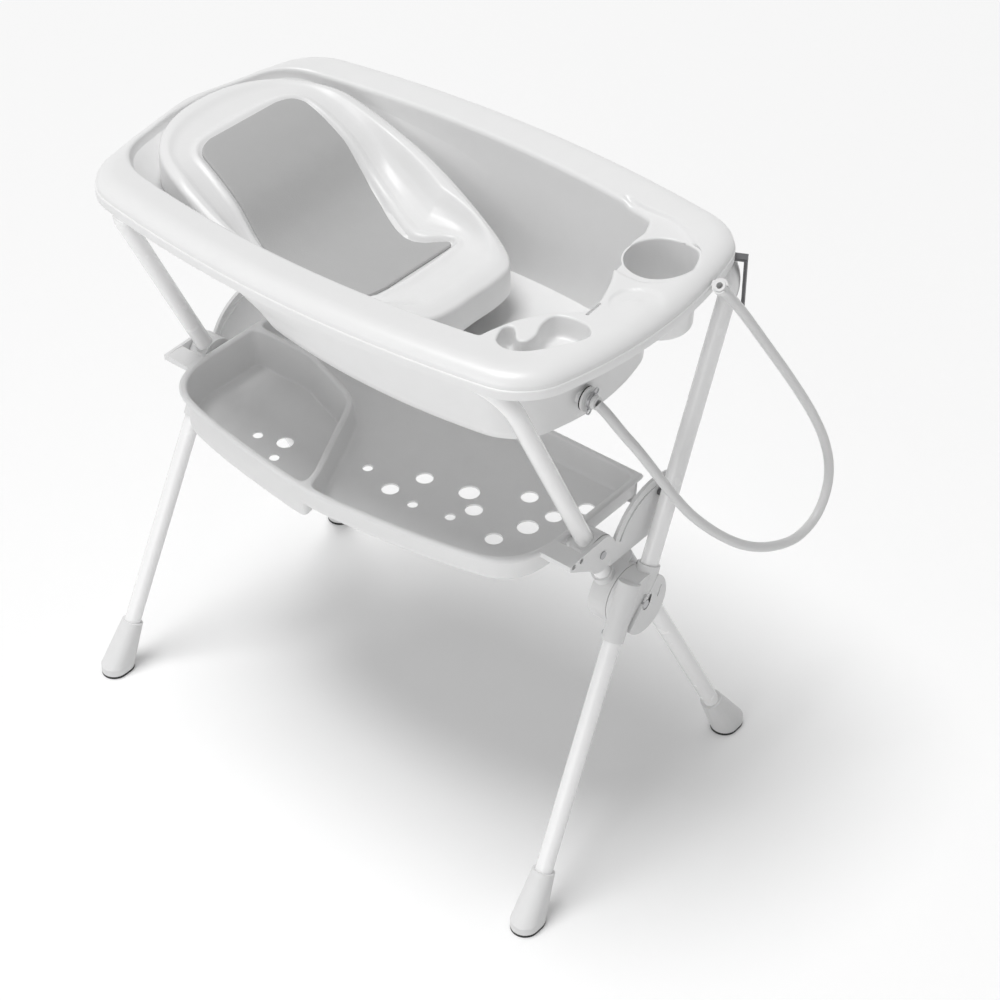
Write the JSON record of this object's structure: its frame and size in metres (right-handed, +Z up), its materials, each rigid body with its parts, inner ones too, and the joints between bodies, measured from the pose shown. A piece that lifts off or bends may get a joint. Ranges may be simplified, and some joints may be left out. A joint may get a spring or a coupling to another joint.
{
  "type": "baby bathtub with stand",
  "caption": "Oval-cornered infant bath tub with lift-out seat, drain hose, cup holder and soap dish, on a scissor-folding tubular stand with a storage tray",
  "frame": {"origin": "on the floor under the middle of the tub, halfway between the feet", "axes": "+X along the tub towards its foot end, where the drain and hose are; -Y is the front; +Z up"},
  "size_m": [0.9032, 0.6595, 0.9144],
  "materials": {
    "tub_white": "gloss",
    "seat_white": "gloss",
    "tray_white": "satin",
    "light_grey": "satin",
    "dark_plastic": "satin",
    "white_tube": "gloss",
    "steel": "satin",
    "sole_rubber": "matte",
    "pad_grey": "matte",
    "hose_white": "satin"
  },
  "bodies": {
    "pivots": {"pivot_bolts": "steel", "pivot_nuts": "steel", "pivot_washers": "light_grey"},
    "inner_frame": {"inner_frame_bar": "white_tube", "inner_leg_left": "white_tube", "inner_leg_right": "white_tube", "inner_hub_left": "light_grey", "inner_hub_right": "light_grey", "back_foot_left": "light_grey", "back_foot_right": "light_grey", "back_soles": "sole_rubber", "inner_hub_screws": "steel", "tray_knuckle_left": "light_grey", "tray_knuckle_right": "light_grey", "tray_pivot_screws": "steel"},
    "outer_frame": {"outer_frame_bar": "white_tube", "outer_leg_left": "white_tube", "outer_leg_right": "white_tube", "outer_hub_left": "light_grey", "outer_hub_right": "light_grey", "hub_cap_left": "light_grey", "hub_cap_right": "light_grey", "front_foot_left": "light_grey", "front_foot_right": "light_grey", "front_soles": "sole_rubber", "outer_hub_screws": "steel", "tray_guide_pins": "dark_plastic"},
    "tray": {"tray_pan": "tray_white", "tray_arm_left": "tray_white", "tray_arm_right": "tray_white", "tray_arm_screws": "steel"},
    "tub": {"tub_shell": "tub_white", "bar_clips_front": "light_grey", "bar_clips_rear": "light_grey", "bar_clip_screws": "steel", "corner_latches": "dark_plastic", "drain_spigot": "light_grey", "drain_gasket": "sole_rubber", "drain_nut": "light_grey", "hose_wire_clip": "steel", "drain_hose": "hose_white", "hose_tip": "light_grey", "hose_hook": "light_grey"},
    "seat": {"bath_seat": "seat_white", "seat_pad": "pad_grey"}
  },
  "joints": [
    {"name": "stand_fold", "type": "hinge", "parent": "pivots", "child": "inner_frame", "pos_m": [0, 0, 0.422], "axis": [-1, 0, 0], "range_deg": [0, 24]},
    {"name": "outer_fold", "type": "hinge", "parent": "pivots", "child": "outer_frame", "pos_m": [0, 0, 0.422], "axis": [1, 0, 0], "range_deg": [0, 24]},
    {"name": "tray_fold", "type": "hinge", "parent": "inner_frame", "child": "tray", "pos_m": [0, -0.05282, 0.52414], "axis": [1, 0, 0], "range_deg": [0, 114.5]},
    {"name": "tub_lift", "type": "slide", "parent": "pivots", "child": "tub", "axis": [0, 0, 1], "range_m": [0, 0.8]},
    {"name": "seat_lift", "type": "slide", "parent": "tub", "child": "seat", "axis": [0, 0, 1], "range_m": [0, 0.25]}
  ],
  "couplings": [
    {"joint": "outer_fold", "follows": "stand_fold", "ratio": 1},
    {"joint": "tray_fold", "follows": "stand_fold", "ratio": 4.75},
    {"joint": "tub_lift", "follows": "stand_fold", "m_per_rad": 1.9}
  ]
}
